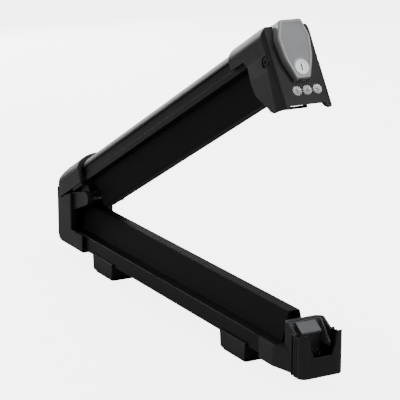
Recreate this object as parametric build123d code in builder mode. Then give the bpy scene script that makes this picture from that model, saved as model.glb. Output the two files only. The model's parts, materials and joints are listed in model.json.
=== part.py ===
from build123d import *
import math
import os

os.makedirs("parts", exist_ok=True)

# Roof ski rack: a base bar and a hinged upper bar, both lined with rubber, with a latch at the front end.
# Millimetres. X runs along the rack towards the latch, Z is up, and the side cheeks face -Y and +Y.
# The origin lies midway between the two bar bolts, on the undersides of the feet.
# The upper arm is drawn closed, then swung open about the hinge pin.

# ---- Driving dimensions -------------------------------------------------------------------------------------
pin_x = -226.9  # hinge pin, measured from the middle of the two feet
reach = 545.0  # hinge pin to the outside of the latch head's skirt
open_angle = 27.5  # how far the arm opens
bar_w = 55.0  # width of both aluminium bars
bar_h = 20.6  # height of the base bar
bar_wall = 2.4  # wall of both bars
under = 20.0  # underside of the base bar above the car's cross bar
foot_pitch = 342.0  # between the two bar bolts

rubber_root = 15.1  # half width of a rubber at the bar
rubber_tip = 7.2  # half width of a rubber at its free edge
base_rubber_h = 34.1
arm_rubber_h = 37.0
nip = 1.3  # gap between the two rubbers when the arm is shut
rubber_skin = 2.2
rubber_web = 1.6

arm_side_h = 17.4  # side of the arm bar below its arch
arch_h = 15.2  # rise of the arch
lip_h = 6.9  # lip along the bottom of the arm bar's side

pin_r = 4.0
pin_lift = 17.9  # hinge pin above the base rubber
run = 0.05  # running clearance of a pin, on the radius
gap = 0.3  # clearance between pieces that move past each other
fit = 0.2  # clearance of a rubber in its groove

groove_mouth = 10.0  # half width of the groove for a rubber, where it opens
groove_in = 13.0  # half width of the groove inside
groove_d = 2.8
slot_mouth = 6.0  # half width of the slot under the base bar
slot_in = 12.0
slot_d = 6.0
port_y = 16.5  # screw ports in both bars
port_r = 2.1
screw_r = 2.0

shell = 2.6  # wall of the moulded housings
cheek_w = 32.0  # half width of the hinge housing
cap_over = 5.5  # hinge cap outside the arm bar
head_over = 3.5  # latch head outside the arm bar
head_skirt_w = 34.8  # half width of the latch head at its lower edge
skirt_gap = 1.7  # latch head's front wall to the receiver
press_angle = 5.5  # travel of the latch

bolt_r = 3.0  # M6 bolt of the car bar
foot_l = 58.0
pad_t = 3.0
lock_r = 8.15
button_depth = 26.0

# ---- Levels and stations that follow from them --------------------------------------------------------------
bar_top = under + bar_h
nip_z = bar_top + base_rubber_h
arm_z = nip_z + nip + arm_rubber_h  # underside of the arm bar when shut
arch_z = arm_z + arm_side_h
crown_z = arch_z + arch_h
pin_z = nip_z + pin_lift
half = bar_w / 2
front_x = pin_x + reach  # outside of the latch head's skirt
cup_front = front_x - shell - skirt_gap
cup_back = cup_front - 59.4
cup_wall_x = cup_back + 4.0  # transverse wall of the receiver, in front of the base bar
cup_wall_t = 17.1
tooth_x = cup_front - 23.3
heel_x = pin_x - 80.9  # rear of the hinge housing
cheek_x = pin_x - 37.4  # front of the hinge housing's cheeks
flange_x = pin_x - 2.1
arm_wall_x = front_x - 56.2  # transverse wall of the latch head
hinge_axis = Axis((pin_x, 0, pin_z), (0, 1, 0))


def finish(piece, name):
    """Label a finished piece and write it out."""
    piece.part.label = name
    export_step(piece.part, f"parts/{name}.step")


def swing_open(piece):
    """Swing a piece of the arm from its shut place to its open one."""
    piece.part = piece.part.rotate(hinge_axis, -open_angle)


def across(points):
    """A closed outline from points given on one side, mirrored to the other."""
    return points + [(-y, z) for y, z in reversed(points)]


# ---- Base bar -----------------------------------------------------------------------------------------------
bar_back = heel_x + 5.8
port_z = under + bar_h / 2
with BuildPart() as base_rail:
    with BuildSketch(Plane.YZ.offset(bar_back)):
        with Locations((0, under + bar_h / 2)):
            RectangleRounded(bar_w, bar_h, 1.0)
        # slot for the feet
        with Locations((0, under)):
            Rectangle(2 * slot_mouth, 2 * bar_wall, mode=Mode.SUBTRACT)
        with Locations((0, under + bar_wall + slot_d / 2)):
            Rectangle(2 * slot_in, slot_d, mode=Mode.SUBTRACT)
        # groove for the rubber
        with Locations((0, bar_top)):
            Rectangle(2 * groove_mouth, 2 * bar_wall, mode=Mode.SUBTRACT)
        with Locations((0, bar_top - bar_wall - groove_d / 2)):
            Rectangle(2 * groove_in, groove_d, mode=Mode.SUBTRACT)
        # screw ports and side chambers
        chamber_in = port_y + port_r + bar_wall
        chamber_w = half - bar_wall - chamber_in
        with Locations((port_y, port_z), (-port_y, port_z)):
            Circle(port_r, mode=Mode.SUBTRACT)
        with Locations((chamber_in + chamber_w / 2, port_z), (-chamber_in - chamber_w / 2, port_z)):
            Rectangle(chamber_w, bar_h - 2 * bar_wall, mode=Mode.SUBTRACT)
    extrude(amount=cup_wall_x - bar_back)
finish(base_rail, "base_rail")


# ---- Rubbers ------------------------------------------------------------------------------------------------
def rubber_section(root_z, tip_z):
    """Section of a rubber: a hollow wedge with V webs, and a foot that holds it in the bar's groove."""
    up = 1 if tip_z > root_z else -1
    tall = abs(tip_z - root_z)
    floor = rubber_skin
    ceiling = tall - rubber_skin
    lean = (rubber_root - rubber_tip) / tall
    wide = rubber_root - rubber_skin - lean * floor
    narrow = rubber_tip - rubber_skin + lean * rubber_skin
    with BuildSketch() as section:
        Polygon(*across([(rubber_root, 0), (rubber_tip, tall)]), align=None)
        fillet(section.vertices().group_by(Axis.Y)[-1], radius=1.6)
        with Locations((0, -bar_wall / 2)):
            Rectangle(2 * (groove_mouth - fit), bar_wall)
        with Locations((0, -bar_wall - groove_d / 2 + fit)):
            Rectangle(2 * (groove_in - fit), groove_d - fit * 2)
        for side in (-1, 1):
            cell = [(side * rubber_web, floor), (side * wide, floor), (side * (narrow + 0.6), ceiling - 4)]
            Polygon(*cell, align=None, mode=Mode.SUBTRACT)
        core = [(0, floor + 4), (narrow - 0.4, ceiling), (-narrow + 0.4, ceiling)]
        Polygon(*core, align=None, mode=Mode.SUBTRACT)
    turned = section.sketch if up > 0 else section.sketch.mirror(Plane.XZ)
    return turned


def rubber(root_z, tip_z, start_x, end_x):
    """A rubber of that section between two stations."""
    with BuildPart() as strip:
        with BuildSketch(Plane.YZ.offset(start_x)):
            with Locations((0, root_z)):
                add(rubber_section(root_z, tip_z))
        extrude(amount=end_x - start_x)
    return strip


base_rubber = rubber(bar_top, nip_z, heel_x + 20.0, cup_back)
finish(base_rubber, "base_rubber")

arm_rubber = rubber(arm_z, nip_z + nip, pin_x + 12.0, arm_wall_x)
swing_open(arm_rubber)
finish(arm_rubber, "arm_rubber")


# ---- Screws -------------------------------------------------------------------------------------------------
def port_screws(seat_x, level, way, length):
    """Two round-head screws driven along X into the ports of a bar, with hexagon sockets."""
    head_h = 2.6
    with BuildPart() as pair:
        for side in (-port_y, port_y):
            with BuildSketch(Plane.YZ.offset(seat_x)):
                with Locations((side, level)):
                    Circle(screw_r)
            extrude(amount=-way * length)
            with BuildSketch(Plane.YZ.offset(seat_x)):
                with Locations((side, level)):
                    Circle(2 * screw_r)
            extrude(amount=way * head_h)
            with BuildSketch(Plane.YZ.offset(seat_x + way * head_h)):
                with Locations((side, level)):
                    RegularPolygon(screw_r, 6)
            extrude(amount=-way * 1.6, mode=Mode.SUBTRACT)
    return pair


# ---- Hinge housing ------------------------------------------------------------------------------------------
lug_in = 23.0
lug_out = half
lug_r = 9.0
lug_skin = 1.4  # left beyond the blind end of the pin's bore
cheek_top = pin_z - 1.1
sole_z = under - 3.3
with BuildPart() as hinge_housing:
    with BuildSketch(Plane.XZ) as side_view:
        with BuildLine():
            Polyline(
                (flange_x, sole_z), (flange_x, bar_top - 0.2), (cheek_x, bar_top - 0.2),
                (cheek_x, cheek_top), (pin_x - 54.0, pin_z - 7.0), (pin_x - 71.5, pin_z - 15.6),
                (pin_x - 76.0, pin_z - 13.8), (pin_x - 79.2, pin_z - 0.6), (heel_x, pin_z - 0.6),
                (heel_x, sole_z), close=True,
            )
        make_face()
        heel = side_view.vertices().sort_by(Axis.X)[0:2].sort_by(Axis.Y)[0]
        fillet(heel, radius=11.0)
    extrude(amount=cheek_w, both=True)
    outer = hinge_housing.edges().filter_by(Plane.XZ).group_by(Axis.Y)
    rounded = [e for e in outer[0] + outer[-1] if e.center().Z < pin_z - 20 and e.center().X < cheek_x + 3]
    fillet(rounded, radius=1.6)
    # bed of the base bar
    with BuildSketch(Plane.XZ):
        with Locations(((bar_back + flange_x) / 2 + 5.0, (under + bar_top) / 2)):
            Rectangle(flange_x - bar_back + 10.0, bar_h)
    extrude(amount=half, both=True, mode=Mode.SUBTRACT)
    # recess that takes the end of the rubber and the hinge cap's lugs
    with BuildSketch(Plane.XZ):
        with Locations((cheek_x, bar_top)):
            Rectangle(cheek_x - heel_x - 18.8, pin_z - 9.6 - bar_top, align=(Align.MAX, Align.MIN))
    extrude(amount=lug_in, both=True, mode=Mode.SUBTRACT)
    # lugs that carry the pin
    for side in (-1, 1):
        with BuildSketch(Plane.XZ.offset(side * (lug_in + lug_out) / 2)):
            with Locations((pin_x, pin_z)):
                Circle(lug_r)
            with Locations((cheek_x - 4.0, cheek_top)):
                Rectangle(5.0, 24.0, align=(Align.CENTER, Align.MAX))
            make_hull()
        extrude(amount=(lug_out - lug_in) / 2, both=True)
    # the bore is blind at the -Y lug
    with BuildSketch(Plane.XZ.offset(-lug_out)):
        with Locations((pin_x, pin_z)):
            Circle(pin_r)
    extrude(amount=2 * lug_out - lug_skin, mode=Mode.SUBTRACT)
    # rear screw holes, with their heads sunk
    for depth, radius in ((20.0, screw_r + 0.1), (3.0, 2 * screw_r + 0.4)):
        with BuildSketch(Plane.YZ.offset(heel_x)):
            with Locations((port_y, port_z), (-port_y, port_z)):
                Circle(radius)
        extrude(amount=depth if radius > 3 else bar_back - heel_x, mode=Mode.SUBTRACT)
finish(hinge_housing, "hinge_housing")

housing_screws = port_screws(heel_x + 3.0, port_z, -1, 22.0)
finish(housing_screws, "housing_screws")

with BuildPart() as hinge_pin:
    with BuildSketch(Plane.XZ.offset(-lug_out)):
        with Locations((pin_x, pin_z)):
            Circle(pin_r)
    extrude(amount=2 * lug_out - lug_skin)
    with BuildSketch(Plane.XZ.offset(-lug_out)):
        with Locations((pin_x, pin_z)):
            Circle(pin_r - 0.8)
    extrude(amount=-2.4)
finish(hinge_pin, "hinge_pin")

with BuildPart() as hinge_clip:
    with BuildSketch(Plane.XZ.offset(-lug_out)):
        with Locations((pin_x, pin_z)):
            Circle(pin_r + 2.2)
            Circle(pin_r - 0.8, mode=Mode.SUBTRACT)
    extrude(amount=-1.2)
finish(hinge_clip, "hinge_clip")


# ---- Arm bar ------------------------------------------------------------------------------------------------
def arch_outline(spread=0.0, bottom=0.0):
    """Outline of the arm bar's section: straight sides under an elliptical arch, grown by spread."""
    with BuildSketch() as outline:
        with BuildLine():
            base = arm_z - bottom
            Polyline((-half - spread, arch_z), (-half - spread, base), (half + spread, base), (half + spread, arch_z))
            EllipticalCenterArc((0, arch_z), half + spread, arch_h + spread, 0, arc_size=180)
        make_face()
    return outline.sketch


cap_back = pin_x - 70.4
cap_front = pin_x + 9.9
arm_back = cap_back + 34.0
arm_port_z = arm_z + 11.0
with BuildPart() as arm_rail:
    with BuildSketch(Plane.YZ.offset(arm_back)):
        add(arch_outline())
        # band set back between the lip and the arch
        for side in (-1, 1):
            with Locations((side * half, (arm_z + lip_h + arch_z) / 2)):
                Rectangle(3.0, arm_side_h - lip_h, mode=Mode.SUBTRACT)
        # groove for the rubber
        with Locations((0, arm_z)):
            Rectangle(2 * groove_mouth, 2 * bar_wall, mode=Mode.SUBTRACT)
        with Locations((0, arm_z + bar_wall + groove_d / 2)):
            Rectangle(2 * groove_in, groove_d, mode=Mode.SUBTRACT)
        with Locations((port_y, arm_port_z), (-port_y, arm_port_z)):
            Circle(port_r, mode=Mode.SUBTRACT)
        # chamber under the arch
        with BuildLine():
            chamber = EllipticalCenterArc((0, arch_z), half - bar_wall, arch_h - bar_wall, 0, arc_size=180)
            Line(chamber @ 1, chamber @ 0)
        make_face(mode=Mode.SUBTRACT)
        with Locations((0, (arm_z + bar_wall + groove_d + arch_z) / 2)):
            Rectangle(2 * (port_y - port_r - bar_wall), arm_side_h - 3 * bar_wall - groove_d, mode=Mode.SUBTRACT)
    extrude(amount=arm_wall_x - arm_back)
swing_open(arm_rail)
finish(arm_rail, "arm_rail")

# ---- Hinge cap ----------------------------------------------------------------------------------------------
cap_lug_out = lug_in - gap
cap_lug_in = cap_lug_out - 4.4
bush_r = pin_r + 1.6
cap_floor = 3.5
with BuildPart() as hinge_cap:
    with BuildSketch(Plane.YZ.offset(cap_back)):
        add(arch_outline(cap_over))
    extrude(amount=cap_front - cap_back)
    # sloping tail
    with BuildSketch(Plane.XZ):
        with BuildLine():
            Polyline(
                (cap_back, arm_z), (cap_back + 10.6, arm_z + 24.4), (cap_back + 36.0, crown_z + cap_over + 1),
                (cap_back - 1, crown_z + cap_over + 1), (cap_back - 1, arm_z), close=True,
            )
        make_face()
    extrude(amount=2 * bar_w, both=True, mode=Mode.SUBTRACT)
    rims = hinge_cap.edges().filter_by(GeomType.ELLIPSE)
    fillet(rims, radius=1.2)
    # lugs that turn on the pin, under a floor below the arm bar
    with BuildSketch(Plane.XZ):
        with Locations((pin_x - 7.5, arm_z)):
            Rectangle(31.0, cap_floor, align=(Align.CENTER, Align.MAX))
    extrude(amount=half + cap_over - 1.5, both=True)
    for side in (-1, 1):
        with BuildSketch(Plane.XZ.offset(side * (cap_lug_in + cap_lug_out) / 2)):
            with Locations((pin_x, pin_z)):
                Circle(lug_r)
            with Locations((pin_x - 5.0, arm_z)):
                Rectangle(24.0, 1.0, align=(Align.CENTER, Align.MAX))
            make_hull()
        extrude(amount=(cap_lug_out - cap_lug_in) / 2, both=True)
    # bed of the arm bar, and the bore for the bushes
    with BuildSketch(Plane.YZ.offset(arm_back)):
        add(arch_outline())
    extrude(amount=arm_wall_x - arm_back, mode=Mode.SUBTRACT)
    with BuildSketch(Plane.XZ):
        with Locations((pin_x, pin_z)):
            Circle(bush_r)
    extrude(amount=half, both=True, mode=Mode.SUBTRACT)
    # holes for its screws
    with BuildSketch(Plane.YZ.offset(cap_back)):
        with Locations((port_y, arm_port_z), (-port_y, arm_port_z)):
            Circle(screw_r + 0.1)
    extrude(amount=arm_back - cap_back, mode=Mode.SUBTRACT)
    with BuildSketch(Plane.YZ.offset(cap_back)):
        with Locations((port_y, arm_port_z), (-port_y, arm_port_z)):
            Circle(2 * screw_r + 0.4)
    extrude(amount=arm_back - cap_back - 4.0, mode=Mode.SUBTRACT)
swing_open(hinge_cap)
finish(hinge_cap, "hinge_cap")

cap_screws = port_screws(arm_back - 4.0, arm_port_z, -1, 20.0)
swing_open(cap_screws)
finish(cap_screws, "cap_screws")

with BuildPart() as hinge_bushes:
    for side in (-1, 1):
        with BuildSketch(Plane.XZ.offset(side * cap_lug_in)):
            with Locations((pin_x, pin_z)):
                Circle(bush_r)
                Circle(pin_r + run, mode=Mode.SUBTRACT)
        extrude(amount=side * (cap_lug_out - cap_lug_in))
        with BuildSketch(Plane.XZ.offset(side * cap_lug_in)):
            with Locations((pin_x, pin_z)):
                Circle(bush_r + 1.8)
                Circle(pin_r + run, mode=Mode.SUBTRACT)
        extrude(amount=-side * 1.0)
swing_open(hinge_bushes)
finish(hinge_bushes, "hinge_bushes")

# ---- Receiver -----------------------------------------------------------------------------------------------
sleeve_x = cup_front - 83.6
sleeve_w = half + 2.8
cheek_back = cup_front - 36.5  # highest point of the receiver's cheeks
waist_x = cup_front - 21.0
waist = 23.4  # half width at the scoop behind the front block
strike_t = 2.0
strike_w = waist - shell - fit
strike_x = cup_wall_x + cup_wall_t
strike_top = bar_top + 29.4
wall_back = strike_x - 7.0  # rear of the cup's wall above the bar
with BuildPart() as receiver:
    with BuildSketch(Plane.XZ):
        with BuildLine():
            Polyline(
                (cup_wall_x, sole_z), (cup_wall_x, bar_top - 0.2), (wall_back, bar_top - 0.2),
                (wall_back, bar_top + 29.8), (cheek_back + 1.5, bar_top + 30.6),
                (waist_x + 2.7, bar_top + 20.8), (cup_front - 7.9, bar_top + 21.0),
                (cup_front - 4.8, bar_top + 24.4), (cup_front, bar_top + 25.9), (cup_front, sole_z), close=True,
            )
        make_face()
    extrude(amount=half, both=True)
    corners = receiver.edges().filter_by(Axis.Z).group_by(Axis.X)[-1]
    fillet(corners, radius=8.5)
    # narrower behind the front block
    for side in (-1, 1):
        with BuildSketch(Plane.XY.offset(sole_z)):
            Polygon(
                (waist_x, side * waist), (wall_back + 5.0, side * waist), (wall_back, side * (waist - 5.0)),
                (wall_back - 20.0, side * (waist - 5.0)), (wall_back - 20.0, side * 40.0), (waist_x, side * 40.0),
                align=None,
            )
        extrude(amount=100.0, mode=Mode.SUBTRACT)
    # sleeve over the base bar, running into the scoops
    with BuildSketch(Plane.XY.offset(sole_z)):
        with BuildLine():
            near = ThreePointArc(
                (cup_wall_x + 1, -sleeve_w), (cup_wall_x + 13, -half), (waist_x, -waist)
            )
            far = ThreePointArc((cup_wall_x + 1, sleeve_w), (cup_wall_x + 13, half), (waist_x, waist))
            Line(near @ 1, far @ 1)
            Polyline(near @ 0, (sleeve_x, -sleeve_w), (sleeve_x, sleeve_w), far @ 0)
        make_face()
    extrude(amount=bar_top - 0.2 - sole_z)
    # bed of the base bar
    with BuildSketch(Plane.XZ):
        with Locations((cup_wall_x, under)):
            Rectangle(80.0, bar_h + 40, align=(Align.MAX, Align.MIN))
    extrude(amount=half, both=True, mode=Mode.SUBTRACT)
    # cup, wider in the front block
    cup_end = cup_front - shell
    for back, wide in ((strike_x, waist - shell), (waist_x + 2.0, half - shell)):
        with BuildSketch(Plane.XY.offset(sole_z + shell)):
            with Locations((back, 0)):
                Rectangle(cup_end - back, 2 * wide, align=(Align.MIN, Align.CENTER))
        extrude(amount=100.0, mode=Mode.SUBTRACT)
    # U-shaped opening in the front wall
    with BuildSketch(Plane.YZ.offset(cup_front - 2 * shell)):
        Polygon(*across([(11.1, bar_top - 1.3), (15.4, bar_top + 9.1), (20.7, bar_top + 40.0)]), align=None)
    extrude(amount=20.0, mode=Mode.SUBTRACT)
    # flutes and a deeper groove down both sides of the front block
    for side in (-1, 1):
        with BuildSketch(Plane.XY.offset(sole_z)):
            with Locations((cup_front - 9.8, side * half), (cup_front - 13.0, side * half)):
                Circle(1.1)
            with Locations((waist_x + 3.0, side * half)):
                Rectangle(4.0, 3.2)
        extrude(amount=bar_h * 4, mode=Mode.SUBTRACT)
    # screw holes into the base bar
    with BuildSketch(Plane.YZ.offset(cup_wall_x)):
        with Locations((port_y, port_z), (-port_y, port_z)):
            Circle(screw_r + 0.1)
    extrude(amount=cup_wall_t, mode=Mode.SUBTRACT)
finish(receiver, "receiver")

receiver_screws = port_screws(strike_x + strike_t, port_z, 1, 36.0)
finish(receiver_screws, "receiver_screws")

# ---- Striker plate ------------------------------------------------------------------------------------------
tooth_z = bar_top + 18.0  # flat underside of the tooth
tooth_w = 12.5  # half width of the tooth
with BuildPart() as striker_plate:
    with BuildSketch(Plane.YZ.offset(strike_x)):
        with Locations((0, strike_top)):
            Rectangle(2 * strike_w, strike_top - sole_z - shell, align=(Align.CENTER, Align.MAX))
        with Locations((port_y, port_z), (-port_y, port_z)):
            Circle(screw_r + 0.1, mode=Mode.SUBTRACT)
    extrude(amount=strike_t)
    for side in (-1, 1):
        # slanted side flange that guides the latch hook
        with BuildSketch(Plane.XZ.offset(side * (strike_w - strike_t / 2))):
            with BuildLine():
                Polyline(
                    (strike_x, strike_top), (strike_x + 4.0, strike_top - 1.0), (tooth_x + 6.0, bar_top + 7.0),
                    (tooth_x + 6.0, bar_top + 3.0), (strike_x, bar_top + 3.0), close=True,
                )
            make_face()
        extrude(amount=strike_t / 2, both=True)
    # tooth that the hook's lower strip catches under, ramped from the top of the plate
    with BuildSketch(Plane.XZ):
        with BuildLine():
            Polyline(
                (strike_x, tooth_z), (strike_x, strike_top - 1.0), (strike_x + strike_t, strike_top - 1.0),
                (tooth_x, tooth_z + 2.0), (tooth_x, tooth_z), close=True,
            )
        make_face()
    extrude(amount=tooth_w, both=True)
finish(striker_plate, "striker_plate")

# ---- Latch head ---------------------------------------------------------------------------------------------
head_back = front_x - 87.2
cross_x = front_x - 13.2
cross_z = pin_z + 12.1
lean = 7.0  # the face leans back this far over its height
skirt_z = bar_top + 8.6
head_top = crown_z + head_over
brow_z = crown_z - 4.2  # top edge of the leaning front face
corner_out = Vector(0.69, 0.724)  # way that the chamfer on the front corner faces


def face_x(level, inset=0.0):
    """Station of the head's leaning front face at a level."""
    return front_x - lean * (level - skirt_z) / (head_top - skirt_z) - inset


def head_form(inset, floor_z):
    """The head's outer form, or its hollow when inset, from a side view crossed with a front view."""
    with BuildPart() as form:
        with BuildSketch(Plane.YZ.offset(head_back - 10)):
            wide = head_skirt_w - inset
            slim = half + head_over - inset
            with BuildLine():
                Polyline((-slim, arch_z), (-slim, arm_z), (-wide + 2.1, pin_z + 2), (-wide, floor_z),
                         (wide, floor_z), (wide - 2.1, pin_z + 2), (slim, arm_z), (slim, arch_z))
                EllipticalCenterArc((0, arch_z), slim, arch_h + head_over - inset, 0, arc_size=180)
            make_face()
        extrude(amount=140)
        with BuildSketch(Plane.XZ):
            with BuildLine():
                if inset:
                    Polyline((arm_wall_x + shell, floor_z), (face_x(floor_z, inset), floor_z),
                             (face_x(head_top, inset), brow_z - inset), (arm_wall_x + shell, head_top), close=True)
                else:
                    Polyline(
                        (head_back, arm_z + 7), (arm_wall_x - 1, arm_z + 6), (arm_wall_x + 5.5, arm_z - 3),
                        (arm_wall_x + 7.8, pin_z - 2.6), (arm_wall_x + 12.0, pin_z - 15.6),
                        (arm_wall_x + 31.0, skirt_z + 9.3), (arm_wall_x + 36.5, skirt_z + 2.8),
                        (arm_wall_x + 42.0, floor_z), (face_x(floor_z), floor_z),
                        (face_x(head_top), brow_z), (arm_wall_x + 2, head_top), (head_back, head_top), close=True,
                    )
            make_face()
        extrude(amount=60, both=True, mode=Mode.INTERSECT)
        # broad chamfers down the front corners, leaning back with the face
        middle = Vector(front_x - 4.2, 31.0) - corner_out * inset
        along = Vector(corner_out.Y, -corner_out.X)
        ends = [middle - along * 30, middle + along * 30]
        ends += [ends[1] + corner_out * 30, ends[0] + corner_out * 30]
        with BuildSketch(Plane.XY.offset(skirt_z - 10)):
            for side in (-1, 1):
                Polygon(*[(end.X, side * end.Y) for end in ends], align=None)
        extrude(amount=140, dir=(-lean / (head_top - skirt_z), 0, 1), mode=Mode.SUBTRACT)
    return form.part


shield = [(8.7, 76.4), (17.1, 99.5), (19.9, 123.0), (13.4, 142.4)]
shield_shift = pin_z - 90.6


def shield_face(spread=0.0, lift=0.0):
    """Shield outline of the latch button, grown by spread and moved up by lift."""
    with BuildSketch() as outline:
        Polygon(*across([(y, z + shield_shift + lift) for y, z in shield]), align=None)
        levels = outline.vertices().group_by(Axis.Y)
        fillet(levels[0] + levels[-1], radius=3.0)
        fillet(outline.vertices().group_by(Axis.X)[0] + outline.vertices().group_by(Axis.X)[-1], radius=16.0)
        flanks = [v for v in outline.vertices() if abs(v.Y - shield[1][1] - shield_shift - lift) < 0.1]
        fillet(flanks, radius=30.0)
        if spread:
            offset(amount=spread)
    return outline.sketch


boss_in = 20.4
button_front = front_x + 5.0
button_back = button_front - button_depth
press_room = 40.0 * math.sin(math.radians(press_angle))  # how far the button's top swings in
with BuildPart() as latch_head:
    add(head_form(0.0, skirt_z - 0.2))
    add(head_form(shell, skirt_z - 1.0), mode=Mode.SUBTRACT)
    # bed of the arm bar and clearance for its rubber
    with BuildSketch(Plane.YZ.offset(head_back - 20)):
        add(arch_outline(0.0, 60.0))
    extrude(amount=arm_wall_x - head_back + 20, mode=Mode.SUBTRACT)
    # bosses for the cross pin
    with BuildSketch(Plane.XZ):
        with Locations((cross_x, cross_z)):
            Circle(6.5)
    extrude(amount=half + head_over - 0.6, both=True)
    with BuildSketch(Plane.XZ):
        with Locations((cross_x, cross_z)):
            Circle(7.5)
    extrude(amount=boss_in, both=True, mode=Mode.SUBTRACT)
    with BuildSketch(Plane.XZ):
        with Locations((cross_x, cross_z)):
            Circle(3.0)
    extrude(amount=60, both=True, mode=Mode.SUBTRACT)
    for side in (-1, 1):
        with BuildSketch(Plane.XZ.offset(side * (half + 2.4))):
            with Locations((cross_x, cross_z)):
                Circle(6.6)
        extrude(amount=side * 20, mode=Mode.SUBTRACT)
    # window for the button
    with BuildSketch(Plane.YZ.offset(button_back - press_room - 1.5)):
        add(shield_face(1.0))
        add(shield_face(1.0, 1.4))
    extrude(amount=50, mode=Mode.SUBTRACT)
    with BuildSketch(Plane.YZ.offset(arm_wall_x)):
        with Locations((port_y, arm_port_z), (-port_y, arm_port_z)):
            Circle(screw_r + 0.1)
    extrude(amount=shell, mode=Mode.SUBTRACT)
    # notch between two feet along the front edge
    with BuildSketch(Plane.YZ.offset(front_x - 6)):
        with Locations((0, skirt_z - 1)):
            Rectangle(2 * 22.0, 3.6, align=(Align.CENTER, Align.MIN))
    extrude(amount=20, mode=Mode.SUBTRACT)
swing_open(latch_head)
finish(latch_head, "latch_head")

head_screws = port_screws(arm_wall_x + shell, arm_port_z, 1, 20.0)
swing_open(head_screws)
finish(head_screws, "head_screws")

with BuildPart() as latch_pin:
    with BuildSketch(Plane.XZ.offset(-half - 2.4)):
        with Locations((cross_x, cross_z)):
            Circle(3.0)
    extrude(amount=2 * half + 4.8)
    with BuildSketch(Plane.XZ.offset(half + 2.4)):
        with Locations((cross_x, cross_z)):
            Circle(5.0)
            RegularPolygon(2.3, 6, mode=Mode.SUBTRACT)
    extrude(amount=1.0)
swing_open(latch_pin)
finish(latch_pin, "latch_pin")

# ---- Latch --------------------------------------------------------------------------------------------------
lock_z = pin_z - 1.8
panel_t = 0.8
panel_cut = button_front - panel_t
spring_z = cross_z + 23.3
plate_t = 2.5
hook_x = tooth_x - 3.8  # middle of the hook's lower leg
strip_h = 2.6  # strip of the hook below its window


def panel_face(inset, lock_gap):
    """Outline of the panel on the button's face, cut round the lock."""
    with BuildSketch() as outline:
        add(shield_face())
        offset(amount=-inset, mode=Mode.REPLACE)
        with Locations((0, lock_z)):
            Circle(lock_r + lock_gap, mode=Mode.SUBTRACT)
            Rectangle(60, 60, align=(Align.CENTER, Align.MAX), mode=Mode.SUBTRACT)
    return outline.sketch


with BuildPart() as latch_button:
    with BuildSketch(Plane.YZ.offset(button_back)):
        add(shield_face())
    extrude(amount=button_depth)
    fillet(latch_button.faces().sort_by(Axis.X)[-1].edges(), radius=1.5)
    with BuildSketch(Plane.YZ.offset(panel_cut)):
        add(panel_face(3.4, 2.0))
    extrude(amount=5.0, mode=Mode.SUBTRACT)
    # hollow behind the upper half, where the spring stands
    with BuildSketch(Plane.YZ.offset(button_back)):
        with Locations((0, spring_z)):
            Circle(9.5)
    extrude(amount=button_depth - 4.0, mode=Mode.SUBTRACT)
    with BuildSketch(Plane.YZ.offset(button_back)):
        with Locations((0, lock_z)):
            Circle(lock_r - 0.6)
    extrude(amount=button_depth + 5, mode=Mode.SUBTRACT)
    with BuildSketch(Plane.XZ):
        with Locations((cross_x, cross_z)):
            Circle(3.0 + run)
    extrude(amount=40, both=True, mode=Mode.SUBTRACT)
    with BuildSketch(Plane.YZ.offset(button_back)):
        with Locations((11.0, cross_z + 8.0), (-11.0, cross_z + 8.0)):
            Circle(1.5)
    extrude(amount=9.0, mode=Mode.SUBTRACT)
swing_open(latch_button)
finish(latch_button, "latch_button")

with BuildPart() as button_panel:
    with BuildSketch(Plane.YZ.offset(panel_cut)):
        add(panel_face(3.4, 2.0))
    extrude(amount=panel_t - 0.3)
swing_open(button_panel)
finish(button_panel, "button_panel")

with BuildPart() as latch_hook:
    with BuildSketch(Plane.XZ):
        with BuildLine():
            FilletPolyline(
                (hook_x, tooth_z - gap - strip_h), (hook_x, skirt_z + 19.0),
                (button_back - plate_t / 2, skirt_z + 27.5), (button_back - plate_t / 2, cross_z + 12.0),
                radius=3.0,
            )
        trace(line_width=plate_t)
    extrude(amount=18.0, both=True)
    # window that the tooth enters
    with BuildSketch(Plane.YZ.offset(hook_x - 5)):
        with Locations((0, tooth_z - gap)):
            Rectangle(2 * (tooth_w + 1.5), 12.5, align=(Align.CENTER, Align.MIN))
    extrude(amount=14.0, mode=Mode.SUBTRACT)
    with BuildSketch(Plane.YZ.offset(button_back - 5)):
        with Locations((0, lock_z)):
            Circle(lock_r + 0.4)
        with Locations((11.0, cross_z + 8.0), (-11.0, cross_z + 8.0)):
            Circle(1.7)
    extrude(amount=10.0, mode=Mode.SUBTRACT)
swing_open(latch_hook)
finish(latch_hook, "latch_hook")

with BuildPart() as hook_screws:
    for side in (-11.0, 11.0):
        with BuildSketch(Plane.YZ.offset(button_back - plate_t)):
            with Locations((side, cross_z + 8.0)):
                Circle(1.5)
        extrude(amount=10.0)
        with BuildSketch(Plane.YZ.offset(button_back - plate_t)):
            with Locations((side, cross_z + 8.0)):
                Circle(2.8)
        extrude(amount=-1.6)
swing_open(hook_screws)
finish(hook_screws, "hook_screws")

spring_r = 4.6
with BuildPart() as latch_spring:
    with BuildLine():
        coil = Helix(
            pitch=4.4, height=44.0, radius=spring_r, center=(arm_wall_x + shell + 0.8, 0, spring_z), direction=(1, 0, 0)
        )
    with BuildSketch(Plane(origin=coil @ 0, z_dir=coil % 0)):
        Circle(0.55)
    sweep(is_frenet=True)
swing_open(latch_spring)
finish(latch_spring, "latch_spring")

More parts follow.
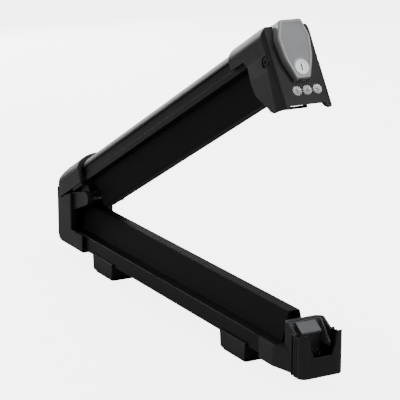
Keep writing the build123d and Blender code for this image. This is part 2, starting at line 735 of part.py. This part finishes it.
# ---- Lock ---------------------------------------------------------------------------------------------------
plug_r = lock_r - 2.2
barrel_back = button_back - 1.0
with BuildPart() as lock_housing:
    with BuildSketch(Plane.YZ.offset(barrel_back)):
        with Locations((0, lock_z)):
            Circle(lock_r - 0.6)
            Circle(plug_r, mode=Mode.SUBTRACT)
    extrude(amount=button_front - barrel_back)
    with BuildSketch(Plane.YZ.offset(button_front)):
        with Locations((0, lock_z)):
            Circle(lock_r)
            Circle(plug_r, mode=Mode.SUBTRACT)
    extrude(amount=0.8)
swing_open(lock_housing)
finish(lock_housing, "lock_housing")

with BuildPart() as lock_plug:
    with BuildSketch(Plane.YZ.offset(barrel_back - 0.5)):
        with Locations((0, lock_z)):
            Circle(plug_r - run)
    extrude(amount=button_front + 0.4 - barrel_back + 0.5)
    with BuildSketch(Plane.YZ.offset(barrel_back - 8.0)):
        with Locations((0, lock_z)):
            Circle(2.5)
    extrude(amount=7.5)
    with BuildSketch(Plane.YZ.offset(button_front + 0.4)):
        with Locations((0, lock_z)):
            Rectangle(1.4, 7.5)
    extrude(amount=-14.0, mode=Mode.SUBTRACT)
swing_open(lock_plug)
finish(lock_plug, "lock_plug")

with BuildPart() as lock_cam:
    with BuildSketch(Plane.YZ.offset(barrel_back - 5.5)):
        with Locations((0, lock_z)):
            Circle(5.0)
            Rectangle(6.0, 20.0, align=(Align.CENTER, Align.MIN))
            Circle(2.5, mode=Mode.SUBTRACT)
    extrude(amount=2.2)
swing_open(lock_cam)
finish(lock_cam, "lock_cam")

with BuildPart() as cam_nut:
    with BuildSketch(Plane.YZ.offset(barrel_back - 8.0)):
        with Locations((0, lock_z)):
            RegularPolygon(4.4, 6)
            Circle(2.5, mode=Mode.SUBTRACT)
    extrude(amount=2.5)
swing_open(cam_nut)
finish(cam_nut, "cam_nut")

# ---- Feet ---------------------------------------------------------------------------------------------------
foot_w = half + 2.6
clamp_pitch = 26.0  # between the two clamp screws of a foot
clamp_r = 2.5
nut_t = 3.6
lip = 3.5
for name, centre in (("rear", -foot_pitch / 2), ("front", foot_pitch / 2)):
    with BuildPart() as foot:
        with BuildSketch(Plane.XZ) as foot_side:
            with BuildLine():
                Polyline(
                    (centre - foot_l / 2 + 2.0, pad_t), (centre - foot_l / 2, under + lip),
                    (centre + foot_l / 2, under + lip), (centre + foot_l / 2 - 2.0, pad_t), close=True,
                )
            make_face()
            fillet(foot_side.vertices().group_by(Axis.Y)[0], radius=3.0)
        extrude(amount=foot_w, both=True)
        with BuildSketch(Plane.XZ):
            with Locations((centre, under - gap)):
                Rectangle(2 * foot_l, 20.0, align=(Align.CENTER, Align.MIN))
        extrude(amount=half + gap, both=True, mode=Mode.SUBTRACT)
        with BuildSketch(Plane.XY.offset(pad_t)):
            with Locations((centre, 0)):
                Circle(bolt_r + 0.3)
            with Locations((centre - clamp_pitch / 2, 0), (centre + clamp_pitch / 2, 0)):
                Circle(clamp_r + 0.2)
        extrude(amount=40, mode=Mode.SUBTRACT)
        with BuildSketch(Plane.XY.offset(pad_t)):
            with Locations((centre - clamp_pitch / 2, 0), (centre + clamp_pitch / 2, 0)):
                Circle(5.0)
        extrude(amount=4.0, mode=Mode.SUBTRACT)
        with BuildSketch(Plane.XY.offset(under - gap - 5.2)):
            with Locations((centre, 0)):
                RegularPolygon(5.0, 6, major_radius=False)
        extrude(amount=20.0, mode=Mode.SUBTRACT)
    finish(foot, f"{name}_foot")

    with BuildPart() as pad:
        with BuildSketch():
            with Locations((centre, 0)):
                RectangleRounded(foot_l - 6.0, 2 * foot_w - 4.0, 3.0)
                Circle(bolt_r + 0.3, mode=Mode.SUBTRACT)
        extrude(amount=pad_t)
    finish(pad, f"{name}_foot_pad")

    with BuildPart() as captive_nut:
        with BuildSketch(Plane.XY.offset(under - gap - 5.2)):
            with Locations((centre, 0)):
                RegularPolygon(5.0, 6, major_radius=False)
                Circle(bolt_r, mode=Mode.SUBTRACT)
        extrude(amount=5.0)
    finish(captive_nut, f"{name}_bar_nut")

    with BuildPart() as slot_nut:
        with BuildSketch(Plane.XY.offset(under + bar_wall + gap)):
            with Locations((centre, 0)):
                RectangleRounded(foot_l - 5.0, 2 * (slot_in - gap), 2.0)
                with Locations((-clamp_pitch / 2, 0), (clamp_pitch / 2, 0)):
                    Circle(clamp_r, mode=Mode.SUBTRACT)
        extrude(amount=nut_t)
    finish(slot_nut, f"{name}_slot_nut")

    with BuildPart() as clamp_screws:
        for side in (-1, 1):
            with BuildSketch(Plane.XY.offset(pad_t + 4.0)):
                with Locations((centre + side * clamp_pitch / 2, 0)):
                    Circle(clamp_r)
            extrude(amount=under + bar_wall + gap + nut_t - pad_t - 4.0)
            with BuildSketch(Plane.XY.offset(pad_t + 4.0)):
                with Locations((centre + side * clamp_pitch / 2, 0)):
                    Circle(4.4)
                    RegularPolygon(2.3, 6, mode=Mode.SUBTRACT)
            extrude(amount=-3.4)
    finish(clamp_screws, f"{name}_clamp_screws")
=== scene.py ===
import json
import math

import bpy
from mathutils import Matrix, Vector
from mathutils.bvhtree import BVHTree


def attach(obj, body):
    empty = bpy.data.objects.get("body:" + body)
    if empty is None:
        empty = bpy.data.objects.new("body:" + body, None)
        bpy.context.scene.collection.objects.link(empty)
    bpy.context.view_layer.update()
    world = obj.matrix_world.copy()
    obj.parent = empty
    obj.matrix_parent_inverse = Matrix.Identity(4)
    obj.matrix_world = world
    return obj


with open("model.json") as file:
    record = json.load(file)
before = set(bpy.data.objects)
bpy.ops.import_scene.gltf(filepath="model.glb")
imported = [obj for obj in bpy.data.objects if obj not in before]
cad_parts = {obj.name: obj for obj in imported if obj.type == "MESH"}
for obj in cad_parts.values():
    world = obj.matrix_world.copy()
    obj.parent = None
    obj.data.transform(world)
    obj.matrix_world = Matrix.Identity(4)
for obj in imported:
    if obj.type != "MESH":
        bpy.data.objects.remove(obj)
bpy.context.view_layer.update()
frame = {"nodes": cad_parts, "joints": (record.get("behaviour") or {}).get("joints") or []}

# ---- Places taken from the frame -----------------------------------------------------------------
# The arm stands open: its own direction is the bar's slope, and HINGE is the pin it turns about.
HINGE = next(j for j in frame["joints"] if j["name"] == "arm_hinge")
PIN = Vector(HINGE["pos_m"])
OPEN = math.radians(HINGE["range_deg"][1])
ALONG_ARM = Vector((math.cos(OPEN), 0, math.sin(OPEN)))
OFF_ARM = Vector((-math.sin(OPEN), 0, math.cos(OPEN)))
nodes = frame["nodes"]


def on_arm(x, y, z):
    """A point given in the shut arm's place, carried to the open arm."""
    rise = Vector((x, y, z)) - PIN
    return PIN + ALONG_ARM * rise.x + Vector((0, rise.y, 0)) + OFF_ARM * rise.z


# ---- Material helpers ----------------------------------------------------------------------------
class Nodes:
    """A material's node tree, with short calls that add nodes to it and link them."""

    def __init__(self, name):
        self.material = bpy.data.materials.new(name)
        self.material.use_nodes = True
        self.tree = self.material.node_tree
        self.shader = self.tree.nodes["Principled BSDF"]
        self.coords = self.tree.nodes.new("ShaderNodeTexCoord").outputs["Object"]

    def link(self, source, target):
        self.tree.links.new(source, target)

    def mapping(self, scale, turn=0.0):
        """Object coordinates turned about Y, so that X runs along a bar, then scaled."""
        turned = self.tree.nodes.new("ShaderNodeMapping")
        turned.inputs["Rotation"].default_value = (0, turn, 0)
        self.link(self.coords, turned.inputs["Vector"])
        scaled = self.tree.nodes.new("ShaderNodeMapping")
        scaled.inputs["Scale"].default_value = scale
        self.link(turned.outputs["Vector"], scaled.inputs["Vector"])
        return scaled.outputs["Vector"]

    def noise(self, vector, scale, detail=3.0, roughness=0.55):
        node = self.tree.nodes.new("ShaderNodeTexNoise")
        node.inputs["Scale"].default_value = scale
        node.inputs["Detail"].default_value = detail
        node.inputs["Roughness"].default_value = roughness
        self.link(vector, node.inputs["Vector"])
        return node.outputs["Fac"]

    def spread(self, value, low, high, start=0.3, end=0.7):
        """Carries value from start..end to low..high."""
        node = self.tree.nodes.new("ShaderNodeMapRange")
        node.inputs["From Min"].default_value = start
        node.inputs["From Max"].default_value = end
        node.inputs["To Min"].default_value = low
        node.inputs["To Max"].default_value = high
        self.link(value, node.inputs["Value"])
        return node.outputs["Result"]

    def tone(self, factor, first, second):
        """A colour between first and second."""
        node = self.tree.nodes.new("ShaderNodeMix")
        node.data_type = "RGBA"
        node.inputs["A"].default_value = (*first, 1)
        node.inputs["B"].default_value = (*second, 1)
        self.link(factor, node.inputs["Factor"])
        return node.outputs["Result"]

    def lighten(self, factor, base, colour):
        """base, moved towards colour by factor."""
        node = self.tree.nodes.new("ShaderNodeMix")
        node.data_type = "RGBA"
        node.inputs["B"].default_value = (*colour, 1)
        self.link(base, node.inputs["A"])
        self.link(factor, node.inputs["Factor"])
        return node.outputs["Result"]

    def bump(self, height, strength, distance, after=None):
        node = self.tree.nodes.new("ShaderNodeBump")
        node.inputs["Strength"].default_value = strength
        node.inputs["Distance"].default_value = distance
        self.link(height, node.inputs["Height"])
        if after is not None:
            self.link(after, node.inputs["Normal"])
        return node.outputs["Normal"]

    def soft_edges(self, radius):
        """Normals that round each edge off by a small radius."""
        node = self.tree.nodes.new("ShaderNodeBevel")
        node.samples = 6
        node.inputs["Radius"].default_value = radius
        return node.outputs["Normal"]

    def edges(self, low, high):
        """0 on flat stretches and 1 along worn outside edges."""
        node = self.tree.nodes.new("ShaderNodeNewGeometry")
        return self.spread(node.outputs["Pointiness"], 0.0, 1.0, low, high)

    def set(self, **values):
        """Sets or links the shader's inputs by name, with spaces written as underscores."""
        for name, value in values.items():
            socket = self.shader.inputs[name.replace("_", " ")]
            if isinstance(value, bpy.types.NodeSocket):
                self.link(value, socket)
            else:
                socket.default_value = value
        return self.material


# ---- Materials -----------------------------------------------------------------------------------
def anodised(name, turn):
    """Black anodised extrusion: drawing lines along the bar, faint scuffs and softly rounded edges."""
    m = Nodes(name)
    lines = m.noise(m.mapping((4, 900, 900), turn), 1.0, 4.0, 0.7)
    scuffs = m.noise(m.mapping((30, 90, 90), turn), 1.0, 6.0, 0.7)
    clouds = m.noise(m.mapping((1, 1, 1), turn), 18.0, 3.0)
    colour = m.tone(m.spread(clouds, 0.0, 1.0), (0.003, 0.003, 0.0033), (0.006, 0.006, 0.0064))
    colour = m.lighten(m.spread(scuffs, 0.0, 0.3, 0.62, 0.8), colour, (0.02, 0.02, 0.021))
    normal = m.bump(lines, 0.12, 0.0002, m.soft_edges(0.0004))
    return m.set(
        Base_Color=colour, Roughness=m.spread(lines, 0.30, 0.44), Normal=normal, Specular_IOR_Level=0.2,
    )


def rubber_black(name, turn):
    """Extruded rubber: dull, with long die lines, dust in the grain and softly rounded edges."""
    m = Nodes(name)
    lines = m.noise(m.mapping((3, 400, 400), turn), 1.0, 3.0, 0.6)
    grain = m.noise(m.mapping((1, 1, 1)), 2600.0, 2.0)
    dust = m.noise(m.mapping((6, 14, 14), turn), 1.0, 5.0, 0.65)
    colour = m.tone(m.spread(dust, 0.0, 1.0), (0.007, 0.007, 0.0072), (0.012, 0.012, 0.0123))
    normal = m.bump(grain, 0.25, 0.0001, m.bump(lines, 0.18, 0.0003, m.soft_edges(0.0005)))
    return m.set(
        Base_Color=colour, Roughness=m.spread(dust, 0.56, 0.68), Normal=normal, Specular_IOR_Level=0.12,
    )


def moulded(name, dark, pale, rough=(0.34, 0.48)):
    """Glass-filled nylon with a spark-eroded texture, flow shading and polished edges."""
    m = Nodes(name)
    pores = m.noise(m.mapping((1, 1, 1)), 1500.0, 3.0, 0.6)
    flow = m.noise(m.mapping((1, 1, 1)), 22.0, 4.0, 0.6)
    colour = m.tone(m.spread(flow, 0.0, 1.0), dark, pale)
    colour = m.lighten(m.edges(0.53, 0.62), colour, [1.8 * c for c in pale])
    normal = m.bump(pores, 0.32, 0.00025, m.soft_edges(0.0008))
    return m.set(Base_Color=colour, Roughness=m.spread(flow, *rough), Normal=normal, Specular_IOR_Level=0.38)


def silver_paint(name, tone, rough):
    """Silver lacquer on plastic: fine flakes under a clear coat."""
    m = Nodes(name)
    flakes = m.noise(m.mapping((1, 1, 1)), 3500.0, 2.0, 0.8)
    veil = m.noise(m.mapping((1, 1, 1)), 30.0, 3.0)
    darker = [0.8 * c for c in tone]
    colour = m.tone(m.spread(flakes, 0.0, 1.0), darker, tone)
    return m.set(
        Base_Color=colour, Metallic=0.55, Roughness=m.spread(veil, rough, rough + 0.1),
        Normal=m.bump(flakes, 0.08, 0.0001, m.soft_edges(0.0006)), Coat_Weight=0.35, Coat_Roughness=0.12,
    )


def steel(name, colour, rough, metallic=1.0, turn=0.0):
    """Plated steel: brushed along X, mottled, with faint blue passivation."""
    m = Nodes(name)
    brush = m.noise(m.mapping((60, 1500, 1500), turn), 1.0, 3.0, 0.7)
    mottle = m.noise(m.mapping((1, 1, 1)), 160.0, 5.0, 0.65)
    tinted = [c * k for c, k in zip(colour, (0.86, 0.9, 0.96))]
    return m.set(
        Base_Color=m.tone(m.spread(mottle, 0.0, 1.0), colour, tinted), Metallic=metallic,
        Roughness=m.spread(brush, rough, rough + 0.15), Normal=m.bump(brush, 0.12, 0.0001),
    )


MATERIALS = {
    "base_bar": anodised("base_bar", 0.0),
    "arm_bar": anodised("arm_bar", OPEN),
    "base_rubber": rubber_black("base_rubber_black", 0.0),
    "arm_rubber": rubber_black("arm_rubber_black", OPEN),
    "charcoal": moulded("charcoal_nylon", (0.007, 0.007, 0.0072), (0.012, 0.012, 0.0123)),
    "acetal": moulded("natural_acetal", (0.50, 0.49, 0.45), (0.56, 0.55, 0.51)),
    "silver": silver_paint("silver_lacquer", (0.38, 0.385, 0.395), 0.34),
    "panel": silver_paint("panel_lacquer", (0.27, 0.275, 0.29), 0.40),
    "steel": steel("zinc_plate", (0.62, 0.62, 0.63), 0.28),
    "dark_steel": steel("phosphated", (0.17, 0.17, 0.175), 0.42, 0.3),
    "mark_white": moulded("mark_white", (0.80, 0.80, 0.80), (0.86, 0.86, 0.86)),
    "black_steel": steel("black_oxide", (0.035, 0.035, 0.036), 0.4, 0.6),
    "lock": steel("satin_chrome", (0.86, 0.86, 0.86), 0.3, 0.7, OPEN),
}

FINISH_OF = {
    "base_rail": "base_bar", "arm_rail": "arm_bar", "base_rubber": "base_rubber", "arm_rubber": "arm_rubber",
    "rear_foot_pad": "base_rubber", "front_foot_pad": "base_rubber", "hinge_bushes": "acetal",
    "hinge_housing": "charcoal", "hinge_cap": "charcoal", "receiver": "charcoal", "latch_head": "charcoal",
    "rear_foot": "charcoal", "front_foot": "charcoal", "latch_button": "silver", "button_panel": "panel",
    "latch_pin": "black_steel", "striker_plate": "dark_steel", "latch_hook": "black_steel",
    "lock_housing": "lock", "lock_plug": "lock",
}


def paint(piece, finish):
    """Gives a piece one material."""
    piece.data.materials.clear()
    piece.data.materials.append(MATERIALS[finish])


def paint_frame():
    """Gives each CAD node its finish; what isn't listed is plated steel."""
    for name, node in nodes.items():
        for slot in node.material_slots:
            slot.material = MATERIALS[FINISH_OF.get(name, "steel")]


# ---- New pieces ----------------------------------------------------------------------------------
def deselect():
    """Clears the selection, so that an operator acts on one piece alone."""
    for thing in bpy.context.selected_objects:
        thing.select_set(False)


def pick_faces(piece, wanted):
    """Selects just the faces that wanted() accepts. The piece is in edit mode before and after."""
    bpy.ops.object.mode_set(mode="OBJECT")
    for face in piece.data.polygons:
        face.select = wanted(face)
    bpy.ops.object.mode_set(mode="EDIT")


def place(piece, middle, facing):
    """Stands a piece modelled in the XY plane on a face, then bakes its place into its mesh."""
    deselect()
    piece.select_set(True)
    bpy.context.view_layer.objects.active = piece
    piece.rotation_euler = facing.to_track_quat("Z", "Y").to_euler()
    piece.location = middle
    bpy.ops.object.transform_apply(location=True, rotation=True, scale=True)


AHEAD_OF_HEAD = 0.65  # start of the ray to the head, along the arm from the pin
MARK_CORE = 0.00128  # radius of a snowflake's middle
MARK_THICKNESS = 0.0006
MARK_PLACES = (-0.0085, 0.004, 0.0165)
MARK_HEIGHT = -0.0255  # from the pin, with the arm shut
MARK_RAISE = 0.0001


def head_face(y, z):
    """Point and outward direction on the latch head's front, by shut-arm width and height."""
    tree = BVHTree.FromObject(nodes["latch_head"], bpy.context.evaluated_depsgraph_get())
    start = on_arm(PIN.x + AHEAD_OF_HEAD, y, PIN.z + z)
    point, direction, _, _ = tree.ray_cast(start, -ALONG_ARM)
    return point, direction


def snowflake(name, core, thickness):
    """A flat six-armed snowflake, with a pair of twigs on each arm."""
    deselect()
    bpy.ops.mesh.primitive_cylinder_add(vertices=12, radius=core, depth=thickness)
    piece = bpy.context.object
    piece.name = name
    bpy.ops.object.mode_set(mode="EDIT")

    def root_of_arm(face):
        turn = math.degrees(math.atan2(face.center.y, face.center.x)) % 60
        return abs(face.normal.z) < 0.5 and abs(turn - 15) < 8

    pick_faces(piece, root_of_arm)
    for step in (1.0, 0.55, 1.15):
        bpy.ops.mesh.extrude_faces_move(TRANSFORM_OT_shrink_fatten={"value": core * step})

    def twig_root(face):
        out = Vector((face.center.x, face.center.y, 0))
        across = abs(face.normal.dot(out.normalized())) < 0.35 and abs(face.normal.z) < 0.5
        return across and 1.95 * core < out.length < 2.6 * core

    pick_faces(piece, twig_root)
    bpy.ops.mesh.extrude_faces_move(TRANSFORM_OT_shrink_fatten={"value": core * 0.75})
    bpy.ops.object.mode_set(mode="OBJECT")
    return piece


def head_marks():
    """Three plain snowflakes across the head's front, below the button."""
    for index, y in enumerate(MARK_PLACES):
        piece = snowflake(f"head_mark_{index + 1}", MARK_CORE, MARK_THICKNESS)
        point, direction = head_face(y, MARK_HEIGHT)
        place(piece, point + direction * MARK_RAISE, direction)
        paint(piece, "mark_white")
        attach(piece, "arm")


# ---- Floor, light and camera ---------------------------------------------------------------------
def stage():
    """A matt floor that is bright to the camera alone, so that it doesn't flood the black parts."""
    bpy.ops.mesh.primitive_plane_add(size=14, location=(0, 0, 0))
    floor = bpy.context.object
    floor.name = "floor"
    m = Nodes("white_floor")
    seen = m.tree.nodes.new("ShaderNodeLightPath").outputs["Is Camera Ray"]
    floor.data.materials.append(m.set(
        Base_Color=m.tone(seen, (0.4, 0.4, 0.4), (0.9, 0.9, 0.9)), Roughness=1.0, Specular_IOR_Level=0.0,
        Emission_Color=(1, 1, 1, 1), Emission_Strength=m.spread(seen, 0.0, 5.0, 0.0, 1.0),
    ))


def area_light(name, stand, target, size, power):
    """A rectangular lamp at stand, aimed at target."""
    data = bpy.data.lights.new(name, "AREA")
    data.shape = "RECTANGLE"
    data.size, data.size_y = size
    data.energy = power
    lamp = bpy.data.objects.new(name, data)
    bpy.context.collection.objects.link(lamp)
    lamp.location = stand
    lamp.rotation_euler = (Vector(target) - Vector(stand)).to_track_quat("-Z", "Y").to_euler()


def light():
    """A dim room with a broad box overhead, one past the hinge that skims the arch, and two for the faces."""
    world = bpy.data.worlds.new("studio")
    bpy.context.scene.world = world
    world.use_nodes = True
    world.node_tree.nodes["Background"].inputs["Color"].default_value = (1, 1, 1, 1)
    world.node_tree.nodes["Background"].inputs["Strength"].default_value = 0.12
    area_light("overhead", (0.1, 0.2, 2.0), (0, 0, 0.1), (2.4, 1.6), 30)
    area_light("end", (-2.0, 0.1, 0.75), (0, 0, 0.2), (1.8, 1.3), 26)
    area_light("side", (-0.2, -2.2, 0.9), (0, 0, 0.15), (1.6, 1.0), 10)
    area_light("front", (1.8, 1.05, 1.5), (0.24, 0, 0.3), (0.9, 0.9), 9)


def camera():
    """A long lens from the front corner, a little above the rack."""
    data = bpy.data.cameras.new("camera")
    data.lens = 148.5
    data.sensor_width = 36.0
    eye = bpy.data.objects.new("camera", data)
    bpy.context.collection.objects.link(eye)
    eye.location = PIN + Vector((1.9323, -0.9152, 0.562))
    eye.rotation_euler = Vector((-0.8469, 0.4656, -0.2571)).to_track_quat("-Z", "Y").to_euler()
    bpy.context.scene.camera = eye


paint_frame()
head_marks()
stage()
light()
camera()
